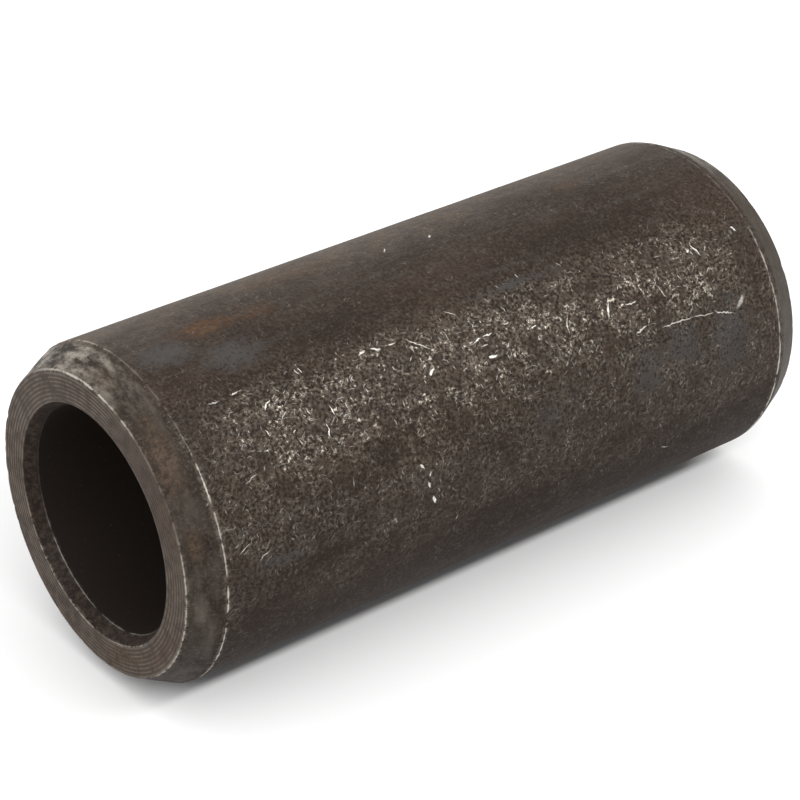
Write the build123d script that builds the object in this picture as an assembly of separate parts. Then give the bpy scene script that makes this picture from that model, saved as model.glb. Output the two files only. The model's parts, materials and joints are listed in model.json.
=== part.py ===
"""Spacer sleeve: one length of thick-walled steel tube, turned at both ends.

The sleeve stands on its bottom end face. The origin is the centre of that face, and +Z
runs up the axis of the bore. All sizes are in millimetres.
"""

import os

from build123d import *

# Tube
outside_diameter = 24.0
bore_diameter = 16.0
length = 54.0

# Outer chamfers: the width comes off the radius, and the height runs along the axis.
# The two ends were turned in separate set-ups, and the top chamfer is the larger one.
top_chamfer_width = 1.25
top_chamfer_height = 2.4
bottom_chamfer_width = 1.0
bottom_chamfer_height = 2.2

# Lead-in bevel at each mouth of the bore
lead_in_width = 0.5
lead_in_depth = 0.95

# Radii that handling has worn on the turned edges
shoulder_radius = 0.4  # where an outer chamfer meets the outside
rim_radius = 0.2  # where an outer chamfer meets its end face
mouth_radius = 0.1  # where an end face meets the lead-in bevel

# Distances from the axis that the section and its edges share
outside = outside_diameter / 2
bore = bore_diameter / 2
mouth = bore + lead_in_width
top_rim = outside - top_chamfer_width
bottom_rim = outside - bottom_chamfer_width


def sharp_wall():
    """Half section of the wall in the XZ plane, before its edges are worn."""
    corners = [
        (mouth, 0),
        (bottom_rim, 0),
        (outside, bottom_chamfer_height),
        (outside, length - top_chamfer_height),
        (top_rim, length),
        (mouth, length),
        (bore, length - lead_in_depth),
        (bore, lead_in_depth),
    ]
    return make_face(Plane.XZ * Polyline(*corners, close=True))


def wear(wall, distances, radius):
    """Round the corners of the wall section that lie at these distances from the axis."""
    tolerance = radius / 100
    corners = [
        corner
        for corner in wall.vertices()
        if min(abs(corner.X - distance) for distance in distances) < tolerance
    ]
    return fillet(corners, radius)


def make_sleeve():
    """The whole sleeve: its worn wall section turned once around the axis."""
    wall = sharp_wall()
    wall = wear(wall, [outside], shoulder_radius)
    wall = wear(wall, [top_rim, bottom_rim], rim_radius)
    wall = wear(wall, [mouth], mouth_radius)
    return revolve(wall, Axis.Z)


sleeve = make_sleeve()
sleeve.label = "sleeve"

os.makedirs("parts", exist_ok=True)
export_step(sleeve, "parts/sleeve.step")
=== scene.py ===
"""Looks of the spacer sleeve: a turned steel tube with a dark oxide skin, worn where it is held.

Everything is in the CAD frame: +Z is the axis of the bore, and the sleeve stands on the
plane z = 0. The picture shows it lying on its side, so the ground, the lamps and the
camera are placed from UP, the direction square to the axis that faces away from that
ground. Sizes are in mm until they reach Blender, which gets metres.
"""

import json
import math
import random

import bpy
import numpy as np
from mathutils import Matrix, Vector, noise


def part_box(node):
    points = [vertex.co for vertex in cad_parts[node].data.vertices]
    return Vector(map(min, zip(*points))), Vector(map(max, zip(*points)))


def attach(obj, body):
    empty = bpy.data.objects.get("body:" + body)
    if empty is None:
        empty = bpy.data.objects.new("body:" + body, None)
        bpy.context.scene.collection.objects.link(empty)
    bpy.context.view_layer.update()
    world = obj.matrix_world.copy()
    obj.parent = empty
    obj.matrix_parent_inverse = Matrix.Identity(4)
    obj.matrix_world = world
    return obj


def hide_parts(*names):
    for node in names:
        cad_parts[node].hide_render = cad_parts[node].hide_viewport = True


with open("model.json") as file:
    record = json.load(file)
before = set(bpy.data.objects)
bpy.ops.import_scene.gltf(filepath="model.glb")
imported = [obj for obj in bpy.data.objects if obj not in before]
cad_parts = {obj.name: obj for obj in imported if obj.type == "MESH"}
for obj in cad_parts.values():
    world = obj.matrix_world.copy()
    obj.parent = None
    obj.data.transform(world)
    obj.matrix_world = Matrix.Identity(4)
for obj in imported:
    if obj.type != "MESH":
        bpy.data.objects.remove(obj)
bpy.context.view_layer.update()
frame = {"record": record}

MM = 0.001
AXIS = Vector((0, 0, 1))

# The sleeve. Sizes that the frame holds are read from it.
mounts = {mount["name"]: mount for mount in frame["record"]["mounts"]}
low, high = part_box("sleeve")
LENGTH = (high.z - low.z) / MM
OUTSIDE = mounts["outside"]["dims"]["r_mm"]
BORE = mounts["bore"]["dims"]["r_mm"]
TOP_CHAMFER_WIDTH = 1.25
TOP_CHAMFER_HEIGHT = 2.4
BOTTOM_CHAMFER_WIDTH = 1.0
BOTTOM_CHAMFER_HEIGHT = 2.2
LEAD_IN_WIDTH = 0.5
LEAD_IN_DEPTH = 0.95
SHOULDER_RADIUS = 0.4
RIM_RADIUS = 0.2
MOUTH_RADIUS = 0.1
THROAT_RADIUS = 0.06
SKIN_SLACK = 0.01  # how far the dressed surface lies inside the solid's
RING_PITCH = 0.28  # feed of the tool that faced the ends
RING_DEPTH = 0.022
RUBBED_SIDE = math.radians(45)  # where the rings of the top face are nearly rubbed away
WAVE_DEPTH = 0.03
GRAIN_DEPTH = 0.006
GRIT_HEIGHT = 0.035  # of the finest roughness, which is left to the material
NICK_DEPTH = 0.06
DENT_SIZE = (0.5, 1.3)
DENT_DEPTH = (0.02, 0.06)
DENT_COUNT = 24
DENT_SEED = 7
AROUND = 300  # points round the axis
ARC_STEPS = 4  # steps round each rounded corner

MOUTH = BORE + LEAD_IN_WIDTH
TOP_RIM = OUTSIDE - TOP_CHAMFER_WIDTH
BOTTOM_RIM = OUTSIDE - BOTTOM_CHAMFER_WIDTH
TOP_SHOULDER = LENGTH - TOP_CHAMFER_HEIGHT
BOTTOM_SHOULDER = BOTTOM_CHAMFER_HEIGHT

# The ground that the sleeve lies on in the picture, and the camera above it
UP_AZIMUTH = 100
CAMERA_RISE = 29.82  # degrees above the ground
CAMERA_TURN = 51.3  # degrees from the axis, seen from above
FOCAL_LENGTH = 124.5
SENSOR = 36
TOP_END_IN_VIEW = Vector((-20.18, -8.2, -181.15))  # centre of the top face in the camera's frame


def across(azimuth):
    """Unit vector square to the axis: azimuth 0 is -Y, and 90 degrees is +X."""
    angle = math.radians(azimuth)
    return Vector((math.sin(angle), -math.cos(angle), 0))


def tilted(start, end, degrees):
    """Unit vector that lies the given angle from start towards end, which are square to each other."""
    angle = math.radians(degrees)
    return start * math.cos(angle) + end * math.sin(angle)


UP = across(UP_AZIMUTH)
SIDE = UP.cross(AXIS)
LEVEL_TO_CAMERA = tilted(AXIS, SIDE, CAMERA_TURN)
BRIGHT_SIDE = tilted(-SIDE, AXIS, 40)  # where the white sweep stands
FRONT_LIGHT = 0.28  # level of the room behind the camera
BACK_LIGHT = 1.15  # level of the white sweep behind and above the sleeve
GROUND_REACH = 700
GROUND_LIT = 0.45  # how white the ground is to the light it throws back on the sleeve
GROUND_SEEN = 0.97  # how white it is to the eye


# ---- Camera, lamps and ground


def facing(back, up):
    """Axes of a thing that looks against back, with up as near upright as it goes."""
    right = up.cross(back).normalized()
    return Matrix((right, back.cross(right), back)).transposed()


def make_camera():
    axes = facing(tilted(LEVEL_TO_CAMERA, UP, CAMERA_RISE), UP)
    place = AXIS * LENGTH - axes @ TOP_END_IN_VIEW
    camera = bpy.data.objects.new("camera", bpy.data.cameras.new("camera"))
    camera.data.lens = FOCAL_LENGTH
    camera.data.sensor_width = SENSOR
    camera.matrix_world = Matrix.Translation(place * MM) @ axes.to_4x4()
    bpy.context.collection.objects.link(camera)
    bpy.context.scene.camera = camera


def add_lamp(name, azimuth, slope, distance, size, power):
    """Soft lamp aimed at the sleeve's middle. Slope is its angle from square to the axis."""
    towards = tilted(across(azimuth), AXIS, slope)
    lamp = bpy.data.objects.new(name, bpy.data.lights.new(name, "AREA"))
    lamp.data.shape = "RECTANGLE"
    lamp.data.size, lamp.data.size_y = size[0] * MM, size[1] * MM
    lamp.data.energy = power
    lamp.visible_camera = False
    place = AXIS * LENGTH / 2 + towards * distance
    lamp.matrix_world = Matrix.Translation(place * MM) @ facing(towards, AXIS).to_4x4()
    bpy.context.collection.objects.link(lamp)


def make_world():
    """White sweep behind and above the sleeve, and a dimmer room on the camera's side."""
    world = bpy.data.worlds.new("studio")
    bpy.context.scene.world = world
    world.use_nodes = True
    graph = Graph(world.node_tree)
    direction = graph.add("ShaderNodeTexCoord").outputs["Generated"]
    behind = graph.vector("DOT_PRODUCT", direction, tuple(BRIGHT_SIDE), output="Value")
    height = graph.vector("DOT_PRODUCT", direction, tuple(UP), output="Value")
    bright = graph.math("MAXIMUM", graph.fade(behind, -0.4, 0.4), graph.fade(height, 0.4, 0.9))
    strength = graph.blend(bright, FRONT_LIGHT, BACK_LIGHT)
    background = world.node_tree.nodes["Background"]
    graph.join(strength, background.inputs["Strength"])
    background.inputs["Color"].default_value = (1, 1, 1, 1)


def make_ground():
    """White sheet that the sleeve lies on. From behind it lets the view through."""
    corners = []
    for along, aside in ((-1, -1), (1, -1), (1, 1), (-1, 1)):
        corner = (AXIS * along + SIDE * aside) * GROUND_REACH - UP * OUTSIDE
        corners.append(corner * MM)
    mesh = bpy.data.meshes.new("ground")
    mesh.from_pydata(corners, [], [(0, 1, 2, 3)])
    if mesh.polygons[0].normal.dot(UP) < 0:
        mesh.flip_normals()
    ground = bpy.data.objects.new("ground", mesh)
    bpy.context.collection.objects.link(ground)
    material = bpy.data.materials.new("ground_white")
    material.use_nodes = True
    tree = material.node_tree
    tree.nodes.clear()
    graph = Graph(tree)
    sheet = graph.add("ShaderNodeBsdfDiffuse")
    white = graph.blend(graph.seen_directly(), GROUND_LIT, GROUND_SEEN)
    graph.join(graph.point(white, white, white), sheet.inputs["Color"])
    clear = graph.add("ShaderNodeBsdfTransparent")
    sides = graph.add("ShaderNodeMixShader")
    graph.join(graph.add("ShaderNodeNewGeometry").outputs["Backfacing"], sides.inputs[0])
    graph.join(sheet.outputs[0], sides.inputs[1])
    graph.join(clear.outputs[0], sides.inputs[2])
    output = graph.add("ShaderNodeOutputMaterial")
    graph.join(sides.outputs[0], output.inputs["Surface"])
    mesh.materials.append(material)


# ---- Node trees


class Graph:
    """Short calls that add nodes to one tree and return their output sockets."""

    def __init__(self, tree):
        self.tree = tree

    def add(self, kind, **settings):
        node = self.tree.nodes.new(kind)
        for name, value in settings.items():
            setattr(node, name, value)
        return node

    def join(self, source, socket):
        """Link source into socket, or set it there if it is a plain value."""
        if isinstance(source, bpy.types.NodeSocket):
            self.tree.links.new(source, socket)
        elif isinstance(source, (int, float)):
            socket.default_value = source
        else:
            values = tuple(source)
            width = len(socket.default_value)
            socket.default_value = values + (1,) * (width - len(values))

    def math(self, operation, *values):
        node = self.add("ShaderNodeMath", operation=operation)
        for value, socket in zip(values, node.inputs):
            self.join(value, socket)
        return node.outputs[0]

    def vector(self, operation, *values, output="Vector"):
        node = self.add("ShaderNodeVectorMath", operation=operation)
        for value, socket in zip(values, node.inputs):
            self.join(value, socket)
        return node.outputs[output]

    def scaled(self, vector, factor):
        node = self.add("ShaderNodeVectorMath", operation="SCALE")
        self.join(vector, node.inputs[0])
        self.join(factor, node.inputs["Scale"])
        return node.outputs["Vector"]

    def fade(self, value, start, end):
        """0 where value is at start, 1 where it is at end, smooth between."""
        node = self.add("ShaderNodeMapRange", interpolation_type="SMOOTHSTEP")
        for source, name in ((value, "Value"), (start, "From Min"), (end, "From Max")):
            self.join(source, node.inputs[name])
        return node.outputs["Result"]

    def blend(self, factor, a, b):
        node = self.add("ShaderNodeMix", data_type="FLOAT")
        for source, socket in zip((factor, a, b), (node.inputs[0], node.inputs[2], node.inputs[3])):
            self.join(source, socket)
        return node.outputs[0]

    def tint(self, factor, a, b):
        node = self.add("ShaderNodeMix", data_type="RGBA")
        for source, socket in zip((factor, a, b), (node.inputs[0], node.inputs[6], node.inputs[7])):
            self.join(source, socket)
        return node.outputs[2]

    def noise(self, place, scale, detail, roughness, output="Fac"):
        node = self.add("ShaderNodeTexNoise")
        self.join(place, node.inputs["Vector"])
        self.join(scale, node.inputs["Scale"])
        self.join(detail, node.inputs["Detail"])
        self.join(roughness, node.inputs["Roughness"])
        return node.outputs[output]

    def cells(self, place):
        """Scattered points, about one to each unit square, with the distance and a random colour."""
        node = self.add("ShaderNodeTexVoronoi", voronoi_dimensions="2D")
        self.join(place, node.inputs["Vector"])
        self.join(1.0, node.inputs["Scale"])
        return node.outputs

    def parts(self, vector):
        node = self.add("ShaderNodeSeparateXYZ")
        self.join(vector, node.inputs[0])
        return node.outputs

    def point(self, x, y, z=0):
        node = self.add("ShaderNodeCombineXYZ")
        for value, socket in zip((x, y, z), node.inputs):
            self.join(value, socket)
        return node.outputs[0]

    def seen_directly(self):
        """1 for rays that see the background itself: from the camera, a gloss or a glass."""
        path = self.add("ShaderNodeLightPath").outputs
        gloss = self.math("MAXIMUM", path["Is Glossy Ray"], path["Is Transmission Ray"])
        return self.math("MAXIMUM", path["Is Camera Ray"], gloss)


# ---- Material


# Noises of the skin: lumps a mm, octaves, roughness
SLOW = (0.42, 3, 0.6)
MEDIUM = (1.2, 4, 0.65)
FINE = (2.8, 4, 0.7)
GRIT = (4.4, 4, 0.68)
SHAKE = (1.5, 2, 0.7)
SHAKE_REACH = 0.45  # mm that a scratch strays to and fro
SWAY = 0.5  # radians that the edge of a band strays to and fro
SKIN_IOR = 1.23  # a dull skin, which mirrors less than clean steel

# Colours of the oxide on the outside
OXIDE_DARK = (0.0250, 0.0152, 0.0100)
OXIDE_LIGHT = (0.0390, 0.0258, 0.0180)
OXIDE_STREAK = (0.052, 0.0470, 0.0420)
PATCH_DARK = (0.0190, 0.0118, 0.0080)
PATCH_COOL = (0.0580, 0.0555, 0.0530)
GRIT_PIT = (0.0150, 0.0092, 0.0063)
GRIT_TOP = (0.057, 0.0420, 0.0320)
PALE_TOP = (0.135, 0.1000, 0.0710)
# Colour of the painted shade on the lower side
UNDERSIDE_PAINTED_SHADE = (0.0170, 0.0100, 0.0070)

# Colours of rubbed and scratched steel; the grit and bare colours also stand for painted glints in the
# key lamp's highlight band
RUBBED_GRIT_GLINT = (0.155, 0.129, 0.103)
BARE_GLINT_DULL = (0.120, 0.100, 0.081)
BARE_GLINT_BRIGHT = (0.80, 0.715, 0.600)
SCRATCH_STEEL = (0.75, 0.72, 0.66)
STROKE_STEEL = (1.0, 0.95, 0.88)
EDGE_SMEAR = (0.22, 0.195, 0.165)
EDGE_STEEL = (0.50, 0.460, 0.400)

# Colours of the slopes, the end faces, the lead-ins and the bore
SLOPE_DARK = (0.0165, 0.0108, 0.0078)
SLOPE_LIGHT = (0.0360, 0.0262, 0.0195)
SLOPE_FAR = (0.062, 0.0500, 0.0390)
SLOPE_SMEAR = (0.300, 0.2650, 0.2250)
SLOPE_FLECK = (0.085, 0.0650, 0.0480)
SLOPE_PALE = (0.17, 0.145, 0.120)
FACE_DARK = (0.0410, 0.0255, 0.0170)
FACE_LIGHT = (0.0600, 0.0415, 0.0300)
RING_CREST = (0.165, 0.131, 0.100)
LEAD_IN_DARK = (0.0150, 0.0090, 0.0062)
LEAD_IN_LIGHT = (0.052, 0.0350, 0.0250)
BORE_DARK = (0.0190, 0.0138, 0.0110)
BORE_SPECK = (0.065, 0.0420, 0.0320)

# Colours of rust
RUST_DARK = (0.0480, 0.0230, 0.0110)
RUST_LIGHT = (0.110, 0.0560, 0.0260)
STAIN_DARK = (0.0300, 0.0190, 0.0125)
STAIN_LIGHT = (0.105, 0.0700, 0.0460)

# Patches: azimuth, reach in degrees, height (on a face: radius), reach in mm, strength
COOL_PATCHES = (
    (25, 14, 15.0, 2.4, 0.75),
    (28, 13, 11.6, 2.6, 0.85),
    (25, 20, 7.2, 2.8, 0.85),
    (13.5, 3, 47.2, 3.2, 0.8),
    (91, 8, 48.8, 3.0, 0.8),
    (81, 9, 45.0, 3.2, 0.8),
    (69, 2.5, 23.0, 5.5, 0.8),
    (23, 7, 24.5, 3.5, 0.5),
    (-30, 12, 4.0, 2.5, 0.6),
    (-120, 20, 38.0, 8.0, 0.6),
    (-165, 14, 15.0, 9.0, 0.6),
    (145, 12, 28.0, 7.0, 0.6),
)
DARK_PATCHES = (
    (34, 8, 38.3, 2.6, 0.9),
    (8, 5, 44.0, 6.0, 0.9),
    (78, 10, 36.0, 8.0, 0.6),
    (80, 11, 16.0, 9.0, 0.6),
    (-5, 9, 28.0, 6.0, 0.6),
    (-140, 14, 24.0, 7.0, 0.6),
)
RUST_SPOTS = (
    (97, 6.5, 45.0, 3.4, 0.85),
    (96, 5.5, 41.0, 2.4, 0.45),
    (103, 5, 12.5, 2.0, 0.3),
    (112, 9, 36.0, 6.0, 0.3),
    (-100, 5, 30.0, 3.0, 0.8),
)
SLOPE_RUST = (
    (58, 20, 53.0, 1.1, 0.75),
    (28, 9, 53.1, 0.7, 0.6),
    (95, 12, 53.1, 0.7, 0.4),
)
FACE_RUST = (
    (33, 14, 10.1, 0.9, 0.6),
    (-64, 24, 9.4, 1.0, 0.6),
    (-30, 24, 10, 0.8, 0.4),
)
PALE_SPOTS = (
    (3, 9, 53.2, 0.7, 0.4),
    (-8, 12, 52.4, 0.5, 0.25),
)

# Fine strokes: lean from the axis, length, width, share of the skin, brightness
STROKES = (
    (10, 0.9, 0.11, 0.12, 0.30),
    (-40, 0.7, 0.12, 0.09, 0.45),
    (75, 0.6, 0.13, 0.09, 0.50),
)
STROKE_SHIFT = 17.3  # that keeps each set of strokes off the last
FAR_AWAY = 9.0  # more than the distance at which a scratch has faded out


class Spot:
    """Where a point of the skin lies, in mm and radians, and which part of the sleeve it is on."""

    def __init__(self, graph):
        self.graph = graph
        self.place = graph.scaled(graph.add("ShaderNodeTexCoord").outputs["Object"], 1 / MM)
        x, y, self.height = graph.parts(self.place)
        self.azimuth = graph.math("ARCTAN2", x, graph.math("MULTIPLY", y, -1))
        self.flat = graph.point(graph.math("MULTIPLY", self.azimuth, OUTSIDE), self.height)
        self.radius = self.span(x, y)
        to_top = graph.math("SUBTRACT", LENGTH, self.height)
        self.from_end = graph.math("MINIMUM", self.height, to_top)
        self.on_outside = graph.fade(self.radius, OUTSIDE - 0.25, OUTSIDE - 0.12)
        self.on_face = graph.fade(self.from_end, 0.14, 0.06)
        self.in_bore = graph.fade(self.radius, BORE + 0.1, BORE + 0.05)
        self.inside_mouth = graph.fade(self.radius, MOUTH + 0.02, MOUTH - 0.06)
        beyond_rim = graph.fade(self.radius, TOP_RIM - 0.1, TOP_RIM + 0.05)
        off_outside = graph.math("MULTIPLY", beyond_rim, self.without(self.on_outside))
        self.on_chamfer = graph.math("MULTIPLY", off_outside, self.without(self.on_face))
        self.slow = graph.noise(self.place, *SLOW)
        self.medium = graph.noise(self.place, *MEDIUM)
        self.fine = graph.noise(self.place, *FINE)
        self.grit = graph.noise(self.place, *GRIT)
        before = graph.math("SUBTRACT", self.azimuth, SWAY / 2)
        self.swayed = graph.math("MULTIPLY_ADD", self.slow, SWAY, before)
        shake = graph.noise(self.flat, *SHAKE, output="Color")
        shake = graph.vector("SUBTRACT", shake, (0.5, 0.5, 0.5))
        self.shaken = graph.vector("MULTIPLY_ADD", shake, (SHAKE_REACH, SHAKE_REACH, 0), self.flat)
        self.around_up = graph.point(self.azimuth, self.height)
        self.around_out = graph.point(self.azimuth, self.radius)

    def without(self, mask):
        return self.graph.math("SUBTRACT", 1, mask)

    def span(self, a, b):
        """Length of the hypotenuse of a and b."""
        return self.graph.vector("LENGTH", self.graph.point(a, b), output="Value")

    def band(self, start, end, soft_start, soft_end):
        """1 between two azimuths in degrees, with a soft and uneven edge inside each."""
        graph = self.graph
        rise = graph.fade(self.swayed, math.radians(start), math.radians(start + soft_start))
        fall = graph.fade(self.swayed, math.radians(end), math.radians(end - soft_end))
        return graph.math("MULTIPLY", rise, fall)

    def patches(self, plane, rows, ragged=0.9):
        """Ragged ovals on the plane (azimuth, height) or (azimuth, radius), each with its strength."""
        graph = self.graph
        mask = 0.0
        for azimuth, reach_around, centre, reach_along, strength in rows:
            offset = graph.vector("SUBTRACT", plane, (math.radians(azimuth), centre, 0))
            squeeze = (1 / math.radians(reach_around), 1 / reach_along, 0)
            offset = graph.vector("MULTIPLY", offset, squeeze)
            distance = graph.vector("LENGTH", offset, output="Value")
            distance = graph.math("MULTIPLY_ADD", self.medium, 2 * ragged, distance)
            one = graph.math("MULTIPLY", graph.fade(distance, 1 + ragged, 0.1 + ragged), strength)
            mask = graph.math("MAXIMUM", mask, one)
        return mask


class Coat:
    """Colour, roughness, metal and height in mm of the skin, built up layer by layer."""

    def __init__(self, graph, colour, roughness):
        self.graph = graph
        self.colour = colour
        self.roughness = roughness
        self.metal = 0.0
        self.height = 0.0

    def lay(self, mask, colour, roughness, metal=None):
        """Cover the skin where mask is 1. The metal below stays where none is given."""
        self.colour = self.graph.tint(mask, self.colour, colour)
        self.roughness = self.graph.blend(mask, self.roughness, roughness)
        if metal is not None:
            self.metal = self.graph.blend(mask, self.metal, metal)

    def raise_by(self, mask, amount):
        self.height = self.graph.math("MULTIPLY_ADD", mask, amount, self.height)


def oxide(graph, spot):
    """Brown-black oxide with streaks, patches and grit, paler on the side that lies uppermost and
    darkened with painted shade on the lower one, and a mask of its smoother patches.
    """
    broad = graph.noise(graph.vector("MULTIPLY", spot.place, (1, 1, 0.45)), 0.24, 4, 0.6)
    broad = graph.fade(broad, 0.35, 0.65)
    brown = graph.tint(broad, OXIDE_DARK, OXIDE_LIGHT)
    coat = Coat(graph, brown, graph.blend(broad, 0.52, 0.45))
    # Streaks along the axis
    run = graph.vector("MULTIPLY", spot.flat, (1.5, 0.07, 0))
    streak = graph.fade(graph.noise(run, 1.0, 4, 0.65), 0.50, 0.72)
    coat.lay(graph.math("MULTIPLY", streak, 0.45), OXIDE_STREAK, 0.42)
    # Darker and cooler patches
    dark = spot.patches(spot.around_up, DARK_PATCHES)
    coat.lay(dark, PATCH_DARK, 0.56)
    cool = spot.patches(spot.around_up, COOL_PATCHES)
    coat.lay(cool, PATCH_COOL, 0.40)
    # Grit, strongest on the side that is handled
    rise = graph.fade(spot.azimuth, -0.6, 0.6)
    fall = graph.fade(spot.azimuth, 1.5, 1.1)
    rough = graph.math("MULTIPLY_ADD", graph.math("MULTIPLY", rise, fall), 0.55, 0.45)
    pits = graph.fade(spot.grit, 0.48, 0.36)
    coat.lay(graph.math("MULTIPLY", pits, rough), GRIT_PIT, 0.62)
    tops = graph.fade(spot.grit, 0.50, 0.68)
    coat.lay(graph.math("MULTIPLY", tops, rough), GRIT_TOP, 0.42)
    coat.raise_by(spot.grit, graph.math("MULTIPLY", rough, GRIT_HEIGHT))
    # A paler, duller skin on the side that lies uppermost, and on the lower side a duller skin darkened
    # with painted shade
    pale_top = graph.math("MULTIPLY", spot.band(94, 175, 36, 30), graph.fade(spot.medium, 0.28, 0.60))
    pale_top = graph.math("MULTIPLY", pale_top, graph.math("MULTIPLY_ADD", streak, 0.4, 0.6))
    coat.lay(pale_top, PALE_TOP, 0.75)
    # Painted shade: the lower side's colour is darkened, besides its rougher skin
    shaded_underside = spot.band(-110, 40, 60, 60)
    coat.lay(graph.math("MULTIPLY", shaded_underside, 0.6), UNDERSIDE_PAINTED_SHADE, 0.85)
    return coat, graph.math("MAXIMUM", cool, dark)


def sparkle(graph, spot, coat, wear_and_glints):
    """Bare steel specks on the tops of the grit, as wear and as painted glints: dense in the band where
    the key lamp's highlight falls, rare elsewhere.
    """
    drift = graph.math("MULTIPLY_ADD", graph.fade(spot.slow, 0.32, 0.60), 0.6, 0.4)
    crowd = graph.math("MULTIPLY", graph.fade(spot.medium, 0.26, 0.66), wear_and_glints)
    crowd = graph.math("MULTIPLY", crowd, drift)
    dull = graph.math("MULTIPLY", graph.fade(spot.grit, 0.42, 0.58), crowd)
    coat.lay(graph.math("MULTIPLY", dull, 0.95), RUBBED_GRIT_GLINT, 0.38, 0.5)
    start = graph.blend(crowd, 0.70, 0.50)
    mask = graph.fade(spot.grit, start, graph.math("ADD", start, 0.11))
    tone = graph.fade(spot.fine, 0.40, 0.66)
    coat.lay(mask, graph.tint(tone, BARE_GLINT_DULL, BARE_GLINT_BRIGHT), 0.32, 0.9)


def strokes(graph, spot, coat, row, shift, where):
    """Short fine scratches that all run about one way, as one row of STROKES gives them."""
    lean, length, width, share, shine = row
    rotation = graph.add("ShaderNodeVectorRotate", rotation_type="Z_AXIS")
    graph.join(spot.shaken, rotation.inputs["Vector"])
    rotation.inputs["Angle"].default_value = math.radians(lean)
    squeezed = graph.vector("MULTIPLY", rotation.outputs[0], (1 / width, 1 / length, 0))
    moved = graph.vector("ADD", squeezed, (shift, shift * 0.7, 0))
    found = graph.cells(moved)
    pick, size, tone = graph.parts(found["Color"])
    reach = graph.math("MULTIPLY_ADD", size, 0.25, 0.17)
    mask = graph.fade(found["Distance"], reach, graph.math("MULTIPLY", reach, 0.4))
    share = graph.math("MULTIPLY", graph.fade(spot.slow, 0.3, 0.6), share)
    present = graph.math("LESS_THAN", pick, share)
    # Strokes show only within the wear mask, which also carries the painted glints of the key lamp's
    # highlight band
    mask = graph.math("MULTIPLY", graph.math("MULTIPLY", mask, present), where)
    faint = graph.math("MULTIPLY", mask, graph.math("MULTIPLY_ADD", tone, 0.7, 0.3))
    coat.lay(faint, [shine * part for part in STROKE_STEEL], 0.34, 0.9)


# Scratches that stand out: azimuth, height, lean from the axis, length, width, strength
SCRATCHES = (
    (36.8, 11.7, 3, 3.2, 0.10, 1.0),
    (35.7, 9.3, 8, 2.4, 0.10, 0.9),
    (33.6, 7.3, 22, 2.2, 0.10, 0.9),
    (35.2, 5.7, -35, 2.4, 0.62, 0.42),
    (39.0, 15.0, -18, 1.5, 0.12, 0.9),
    (40.8, 14.1, -65, 0.5, 0.08, 0.8),
    (49.5, 17.1, -60, 2.0, 0.12, 0.8),
    (49.0, 17.2, -52, 1.1, 0.20, 1.0),
    (48.6, 15.1, 2, 1.0, 0.12, 0.9),
    (48.5, 12.2, 70, 2.1, 0.09, 0.5),
    (57.5, 7.8, 70, 1.2, 0.18, 1.0),
    (58.0, 8.5, -20, 0.4, 0.22, 0.9),
    (59.5, 3.7, 60, 0.7, 0.15, 0.9),
    (49.0, 27.6, 3, 0.8, 0.26, 1.0),
    (55.5, 28.3, -12, 1.1, 0.12, 0.8),
    (56.1, 27.3, 6, 1.1, 0.12, 0.8),
    (53.2, 27.9, 4, 0.9, 0.10, 0.6),
    (57.5, 25.5, 8, 1.5, 0.10, 0.5),
    (53.0, 23.5, -15, 0.7, 0.13, 0.8),
    (11.7, 34.8, 75, 0.7, 0.30, 1.0),
    (17.7, 35.1, 85, 0.6, 0.20, 0.9),
    (21.0, 35.0, -70, 0.5, 0.12, 0.8),
    (24.5, 35.6, 50, 0.6, 0.20, 0.9),
    (60.8, 45.1, -40, 1.2, 0.12, 0.9),
    (67.6, 48.4, 5, 1.2, 0.13, 0.6),
    (68.0, 46.6, 6, 1.1, 0.13, 0.7),
    (17.3, 48.6, -26, 1.7, 0.10, 0.5),
    (21.8, 50.1, -26, 1.8, 0.10, 0.5),
    (41.5, 48.3, -22, 2.0, 0.10, 0.45),
    (46.5, 41.8, -80, 1.4, 0.10, 0.7),
    (51.5, 40.9, 80, 1.3, 0.10, 0.8),
    (28.0, 41.1, -80, 1.1, 0.09, 0.5),
    (67.5, 41.9, 88, 0.5, 0.10, 0.8),
    (67.4, 41.6, 88, 0.5, 0.10, 0.8),
    (65.5, 36.8, -14, 1.0, 0.20, 0.8),
    (65.0, 35.7, 25, 1.0, 0.18, 0.8),
    (64.8, 34.5, 5, 1.3, 0.14, 0.7),
    (61.5, 32.6, 38, 2.9, 0.11, 0.7),
    (51.5, 32.6, -25, 0.8, 0.24, 0.9),
    (60.5, 30.3, 88, 2.0, 0.12, 0.4),
    (67.5, 29.0, 40, 1.6, 0.11, 0.5),
    (102, 25.2, -30, 0.5, 0.22, 1.0),
    (103.5, 28.9, -60, 1.0, 0.16, 0.7),
    (-10, 12.9, 17, 1.1, 0.11, 0.6),
    (0.8, 32.7, -80, 0.8, 0.12, 0.5),
    (71.5, 22.6, 85, 0.7, 0.14, 0.5),
    (49.5, 20.8, -75, 2.2, 0.10, 0.6),
)


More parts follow.
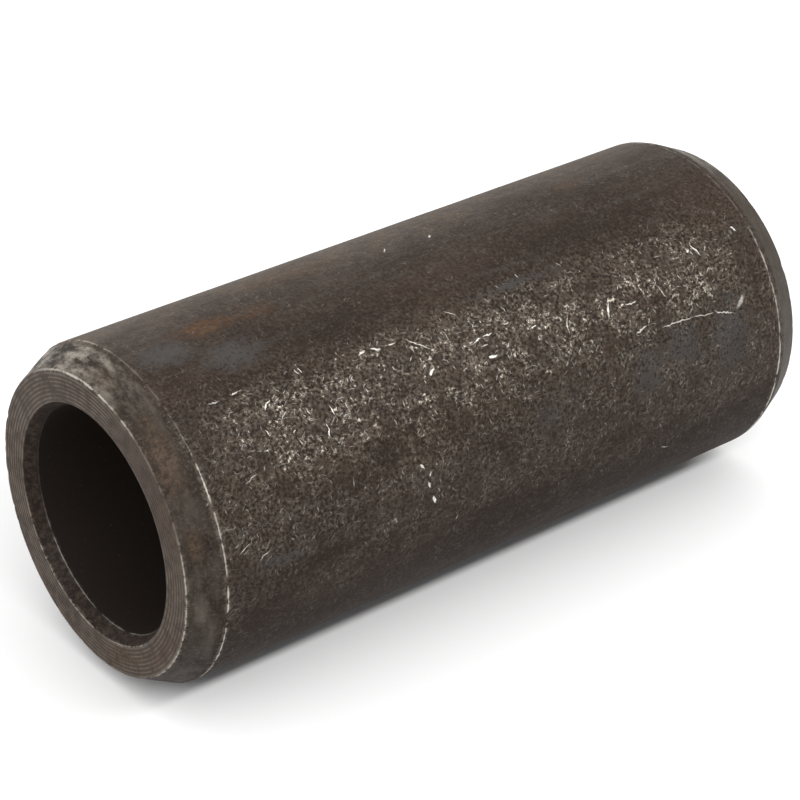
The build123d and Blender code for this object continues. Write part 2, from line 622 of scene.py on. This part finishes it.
def scratches(graph, spot, coat):
    """The scratches listed above, slightly shaky and worn through in places.

    Each row turns and scales the flat place so that its scratch is a circle of radius 1. The
    third coordinate moves the weaker ones away.
    """
    x, y = graph.parts(spot.shaken)[:2]
    flat_x = graph.point(x, x)
    flat_y = graph.point(y, y)
    nearest = FAR_AWAY
    for azimuth, height, lean, length, width, strength in SCRATCHES:
        middle = Vector((math.radians(azimuth) * OUTSIDE, height))
        angle = math.radians(lean)
        along = Vector((math.sin(angle), math.cos(angle))) * 2 / length
        aside = Vector((math.cos(angle), -math.sin(angle))) * 2 / width
        start = (-along.dot(middle), -aside.dot(middle), math.sqrt(1 - strength))
        within = graph.vector("MULTIPLY_ADD", flat_y, (along.y, aside.y, 0), start)
        within = graph.vector("MULTIPLY_ADD", flat_x, (along.x, aside.x, 0), within)
        distance = graph.vector("DOT_PRODUCT", within, within, output="Value")
        nearest = graph.math("MINIMUM", nearest, distance)
    mask = graph.math("MULTIPLY", graph.fade(nearest, 1.0, 0.35), graph.fade(spot.fine, 0.30, 0.50))
    mask = graph.math("MULTIPLY", mask, spot.on_outside)
    coat.lay(mask, SCRATCH_STEEL, 0.40, 0.8)


# Edges in the plane (radius, distance from the nearer end): width of the bare line, how bright,
# and the azimuths that it is worn between, with the softness of both limits
EDGES = (
    (OUTSIDE, TOP_CHAMFER_HEIGHT, 0.10, 0.9, (-45, 62, 25, 20)),
    (OUTSIDE, TOP_CHAMFER_HEIGHT, 0.10, 0.6, (95, 175, 30, 30)),
    (TOP_RIM, 0, 0.16, 0.9, (62, 140, 18, 30)),
    (TOP_RIM, 0, 0.11, 0.8, (-60, 38, 30, 20)),
    (MOUTH, 0, 0.09, 0.55, (-160, -20, 30, 30)),
    (BORE, LEAD_IN_DEPTH, 0.07, 0.4, (-160, -20, 30, 30)),
)


def worn_edges(graph, spot, coat):
    """Broken bright lines where the edges are rubbed bare, with duller rubbing beside them."""
    place = graph.point(spot.radius, spot.from_end)
    bare = graph.fade(spot.slow, 0.30, 0.52)
    share = graph.fade(graph.math("ADD", spot.fine, spot.medium), 0.70, 1.10)
    share = graph.math("MULTIPLY_ADD", share, 0.65, 0.35)
    lines = smears = 0.0
    for radius, from_end, width, bright, window in EDGES:
        distance = graph.vector("DISTANCE", place, (radius, from_end, 0), output="Value")
        worn = graph.math("MULTIPLY_ADD", spot.band(*window), 0.85, 0.15)
        worn = graph.math("MULTIPLY", worn, bright)
        smear = graph.math("MULTIPLY", graph.fade(distance, width * 3.5, 0), worn)
        smears = graph.math("MAXIMUM", smears, smear)
        reach = graph.math("MULTIPLY", share, width)
        line = graph.fade(distance, reach, graph.math("MULTIPLY", reach, 0.45))
        lines = graph.math("MAXIMUM", lines, graph.math("MULTIPLY", line, worn))
    patchy = graph.math("MULTIPLY", bare, graph.fade(spot.fine, 0.42, 0.62))
    smears = graph.math("MULTIPLY", smears, patchy)
    coat.lay(graph.math("MULTIPLY", smears, 0.7), EDGE_SMEAR, 0.42, 0.4)
    coat.lay(graph.math("MULTIPLY", lines, bare), EDGE_STEEL, 0.36, 0.9)


def chamfers(graph, spot, coat):
    """Duller, browner turned slopes, smeared with grey where other parts rubbed them."""
    colour = graph.tint(graph.fade(spot.medium, 0.35, 0.65), SLOPE_DARK, SLOPE_LIGHT)
    coat.lay(spot.on_chamfer, colour, 0.58)
    bottom = graph.math("MULTIPLY", graph.fade(spot.height, LENGTH / 2, 0), spot.on_chamfer)
    coat.lay(graph.math("MULTIPLY", bottom, 0.8), SLOPE_FAR, 0.55)
    lumpy = graph.vector("MULTIPLY", spot.flat, (0.55, 1.5, 0))
    smear = graph.fade(graph.noise(lumpy, 0.8, 5, 0.7), 0.40, 0.66)
    crown = graph.math("MULTIPLY_ADD", spot.band(66, 178, 50, 20), 0.9, 0.10)
    mask = graph.math("MULTIPLY", graph.math("MULTIPLY", smear, crown), spot.on_chamfer)
    coat.lay(mask, SLOPE_SMEAR, 0.46, 0.3)
    flecks = graph.math("MULTIPLY", graph.fade(spot.grit, 0.50, 0.66), spot.on_chamfer)
    coat.lay(graph.math("MULTIPLY", flecks, 0.6), SLOPE_FLECK, 0.45)
    pale = spot.patches(spot.around_up, PALE_SPOTS)
    coat.lay(graph.math("MULTIPLY", pale, spot.on_chamfer), SLOPE_PALE, 0.45, 0.3)


def faces(graph, spot, coat):
    """Faced ends: barer steel, with tool rings that follow the ridges of the mesh."""
    colour = graph.tint(graph.fade(spot.medium, 0.35, 0.65), FACE_DARK, FACE_LIGHT)
    coat.lay(spot.on_face, colour, 0.50, 0.12)
    phase = graph.math("MULTIPLY_ADD", spot.azimuth, -RING_PITCH / (2 * math.pi), spot.radius)
    wave = graph.math("COSINE", graph.math("MULTIPLY", phase, 2 * math.pi / RING_PITCH))
    crest = graph.math("MULTIPLY", graph.fade(wave, 0.1, 0.95), spot.on_face)
    sharp = graph.math("MULTIPLY_ADD", spot.band(5, 95, 30, 30), -0.5, 0.65)
    broken = graph.math("MULTIPLY", graph.fade(spot.medium, 0.30, 0.62), sharp)
    coat.lay(graph.math("MULTIPLY", crest, broken), RING_CREST, 0.42, 0.5)


def bore_skin(graph, spot, coat):
    """Almost black bore, and a dark brown lead-in with paler specks at each mouth."""
    colour = graph.tint(graph.fade(spot.fine, 0.40, 0.70), LEAD_IN_DARK, LEAD_IN_LIGHT)
    coat.lay(spot.inside_mouth, colour, 0.52)
    specks = graph.tint(graph.fade(spot.grit, 0.60, 0.80), BORE_DARK, BORE_SPECK)
    coat.lay(spot.in_bore, specks, 0.62, 0.0)


def rust(graph, spot, coat):
    """Thin rust: spots on the outside, patches on the top slope and on the top face."""
    orange = graph.tint(graph.fade(spot.fine, 0.3, 0.7), RUST_DARK, RUST_LIGHT)
    spots = spot.patches(spot.around_up, RUST_SPOTS)
    coat.lay(graph.math("MULTIPLY", spots, spot.on_outside), orange, 0.60, 0.0)
    brown = graph.tint(graph.fade(spot.fine, 0.35, 0.65), STAIN_DARK, STAIN_LIGHT)
    slope = graph.math("MULTIPLY", spot.patches(spot.around_up, SLOPE_RUST), spot.on_chamfer)
    face = graph.math("MULTIPLY", spot.patches(spot.around_out, FACE_RUST), spot.on_face)
    coat.lay(graph.math("MAXIMUM", slope, face), brown, 0.62, 0.0)


def wear_and_glint_bands(graph, spot, smooth_parts):
    """How much each point is worn, from 0 to 1, partly as painted glints: most in one band, where the
    key lamp's highlight falls, least at the ends.
    """
    off_ends = graph.fade(spot.from_end, 2.0, 9.0)
    off_ends = graph.math("MULTIPLY_ADD", off_ends, 0.75, 0.25)
    # The main band lies where the key lamp's highlight falls: painted glints as well as wear
    main = graph.math("MULTIPLY", spot.band(18, 76, 26, 14), off_ends)
    skirt = graph.math("MULTIPLY", spot.band(-35, 50, 70, 10), 0.55)
    back = graph.math("MULTIPLY", spot.band(-175, -80, 50, 30), 0.8)
    rubbed = graph.math("MAXIMUM", graph.math("MAXIMUM", main, skirt), graph.math("MAXIMUM", back, 0.16))
    kept = graph.math("MULTIPLY_ADD", smooth_parts, -0.8, 1)
    return graph.math("MULTIPLY", graph.math("MULTIPLY", rubbed, kept), spot.on_outside)


def dark_steel():
    """The whole skin, from its oxide up to the bare lines on its edges."""
    material = bpy.data.materials.new("dark_steel")
    material.use_nodes = True
    tree = material.node_tree
    graph = Graph(tree)
    spot = Spot(graph)
    coat, smooth_parts = oxide(graph, spot)
    chamfers(graph, spot, coat)
    faces(graph, spot, coat)
    bore_skin(graph, spot, coat)
    rust(graph, spot, coat)
    # Wear, which also crowds painted glints into the key lamp's highlight band
    wear_and_glints = wear_and_glint_bands(graph, spot, smooth_parts)
    sparkle(graph, spot, coat, wear_and_glints)
    for number, row in enumerate(STROKES):
        strokes(graph, spot, coat, row, STROKE_SHIFT * number, wear_and_glints)
    scratches(graph, spot, coat)
    worn_edges(graph, spot, coat)
    bump = graph.add("ShaderNodeBump")
    graph.join(coat.height, bump.inputs["Height"])
    bump.inputs["Distance"].default_value = MM
    shader = tree.nodes["Principled BSDF"]
    graph.join(coat.colour, shader.inputs["Base Color"])
    graph.join(coat.roughness, shader.inputs["Roughness"])
    graph.join(coat.metal, shader.inputs["Metallic"])
    graph.join(bump.outputs[0], shader.inputs["Normal"])
    shader.inputs["IOR"].default_value = SKIN_IOR
    return material


# ---- Mesh


def outline():
    """Closed outline of the wall, counter-clockwise from the bottom mouth, as (radius, height).

    Each corner has its rounding, and the step between points on the straight run after it.
    """
    corners = (
        (MOUTH, 0, MOUTH_RADIUS, 0.07),
        (BOTTOM_RIM, 0, RIM_RADIUS, 0.2),
        (OUTSIDE, BOTTOM_SHOULDER, SHOULDER_RADIUS, 0.4),
        (OUTSIDE, TOP_SHOULDER, SHOULDER_RADIUS, 0.15),
        (TOP_RIM, LENGTH, RIM_RADIUS, 0.045),
        (MOUTH, LENGTH, MOUTH_RADIUS, 0.15),
        (BORE, LENGTH - LEAD_IN_DEPTH, THROAT_RADIUS, 2.0),
        (BORE, LEAD_IN_DEPTH, THROAT_RADIUS, 0.2),
    )
    places = np.array([corner[:2] for corner in corners], float)
    before = np.roll(places, 1, 0) - places
    after = np.roll(places, -1, 0) - places
    before /= np.linalg.norm(before, axis=1)[:, None]
    after /= np.linalg.norm(after, axis=1)[:, None]
    half = np.arccos((before * after).sum(1)) / 2
    rounding = np.array([corner[2] for corner in corners])
    reach = (rounding / np.tan(half))[:, None]
    middle = before + after
    middle *= (rounding / np.sin(half) / np.linalg.norm(middle, axis=1))[:, None]
    centres = places + middle
    starts = places + before * reach
    ends = places + after * reach
    points = []
    for index, (centre, start, end) in enumerate(zip(centres, starts, ends)):
        first = math.atan2(*(start - centre)[::-1])
        turn = math.atan2(*(end - centre)[::-1]) - first
        turn = (turn + math.pi) % (2 * math.pi) - math.pi
        for angle in first + turn * np.linspace(0, 1, ARC_STEPS + 1):
            points.append(centre + rounding[index] * np.array((math.cos(angle), math.sin(angle))))
        goal = starts[(index + 1) % len(corners)]
        pieces = max(1, round(np.linalg.norm(goal - end) / corners[index][3]))
        for share in np.linspace(0, 1, pieces + 1)[1:-1]:
            points.append(end + (goal - end) * share)
    return np.array(points)


def smooth(values, start, end):
    """0 where values are at start, 1 where they are at end, smooth between."""
    share = np.clip((values - start) / (end - start), 0, 1)
    return share * share * (3 - 2 * share)


def lumps(spots, size, shift):
    """Smooth noise from -1 to 1 at each spot, with lumps of about the given size in mm."""
    flat = spots.reshape(-1, 3) / size + shift
    return np.array([noise.noise(Vector(spot)) for spot in flat.tolist()]).reshape(spots.shape[:2])


def relief(radius, height, angles, spots):
    """How deep each point lies below the plain turned form: tool rings, dents, nicks and waves."""
    waves = WAVE_DEPTH * (0.5 + 0.5 * lumps(spots, 6.0, 3.1))
    grain = GRAIN_DEPTH * (0.5 + 0.5 * lumps(spots, 1.0, 9.7))
    depth = (waves + grain) * smooth(radius, BORE, MOUTH)
    # Rings of the facing tool, one spiral on each end, shallower where they are worn
    at_end = np.minimum(height, LENGTH - height) < SKIN_SLACK * 2
    on_face = at_end & (radius > MOUTH) & (radius < BOTTOM_RIM)
    phase = radius / RING_PITCH - angles / (2 * math.pi)
    ring = 0.5 - 0.5 * np.cos(2 * math.pi * phase)
    worn = smooth(lumps(spots, 5.0, 5.3), -0.45, 0.25)
    worn = worn * (1 - 0.6 * smooth(np.abs(angles - RUBBED_SIDE), 1.0, 0.5))
    depth = depth + on_face * RING_DEPTH * ring * (0.35 + 0.65 * worn)
    # Nicks along the edges of the two slopes
    nicks = smooth(lumps(spots, 0.9, 1.9), 0.12, 0.5)
    for edge_radius, edge_height in (
        (OUTSIDE, TOP_SHOULDER),
        (TOP_RIM, LENGTH),
        (OUTSIDE, BOTTOM_SHOULDER),
        (BOTTOM_RIM, 0),
    ):
        away = np.hypot(radius - edge_radius, height - edge_height)
        depth = depth + NICK_DEPTH * nicks * smooth(away, 0.4, 0.05)
    # Dents from knocks on the outside
    chance = random.Random(DENT_SEED)
    for _ in range(DENT_COUNT):
        turn = chance.uniform(-math.pi, math.pi)
        level = chance.uniform(4, LENGTH - 5)
        size = chance.uniform(*DENT_SIZE)
        deep = chance.uniform(*DENT_DEPTH)
        around = (angles - turn + math.pi) % (2 * math.pi) - math.pi
        away = np.hypot(around * OUTSIDE, (height - level) * chance.uniform(0.5, 1.0))
        depth = depth + deep * smooth(away, size, 0) * (radius > OUTSIDE - 1)
    return depth


def make_sleeve():
    """The outline turned about the axis, lowered a little by its relief."""
    path = outline()
    along = np.roll(path, -1, 0) - np.roll(path, 1, 0)
    along /= np.linalg.norm(along, axis=1)[:, None]
    outward = np.stack((along[:, 1], -along[:, 0]), 1)
    path = path - outward * SKIN_SLACK
    angles = np.linspace(-math.pi, math.pi, AROUND, endpoint=False)[None, :]
    radius, height = path[:, :1], path[:, 1:]

    def revolved(radius, height):
        return np.stack((radius * np.sin(angles), -radius * np.cos(angles), height + 0 * angles), 2)

    depth = relief(radius, height, angles, revolved(radius, height))
    spots = revolved(radius - depth * outward[:, :1], height - depth * outward[:, 1:])
    index = np.arange(spots.shape[0] * AROUND).reshape(-1, AROUND)
    right, above = np.roll(index, -1, 1), np.roll(index, -1, 0)
    faces = np.stack((index, right, np.roll(right, -1, 0), above), 2).reshape(-1, 4)
    mesh = bpy.data.meshes.new("sleeve_skin")
    mesh.from_pydata((spots.reshape(-1, 3) * MM).tolist(), [], faces.tolist())
    mesh.shade_smooth()
    mesh.materials.append(dark_steel())
    skin = bpy.data.objects.new("sleeve_skin", mesh)
    bpy.context.collection.objects.link(skin)
    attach(skin, "root")
    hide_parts("sleeve")


make_camera()
make_world()
make_ground()
add_lamp("key", azimuth=57, slope=4, distance=500, size=(60, 1000), power=2.4)
make_sleeve()
bpy.context.scene.view_settings.view_transform = "Standard"
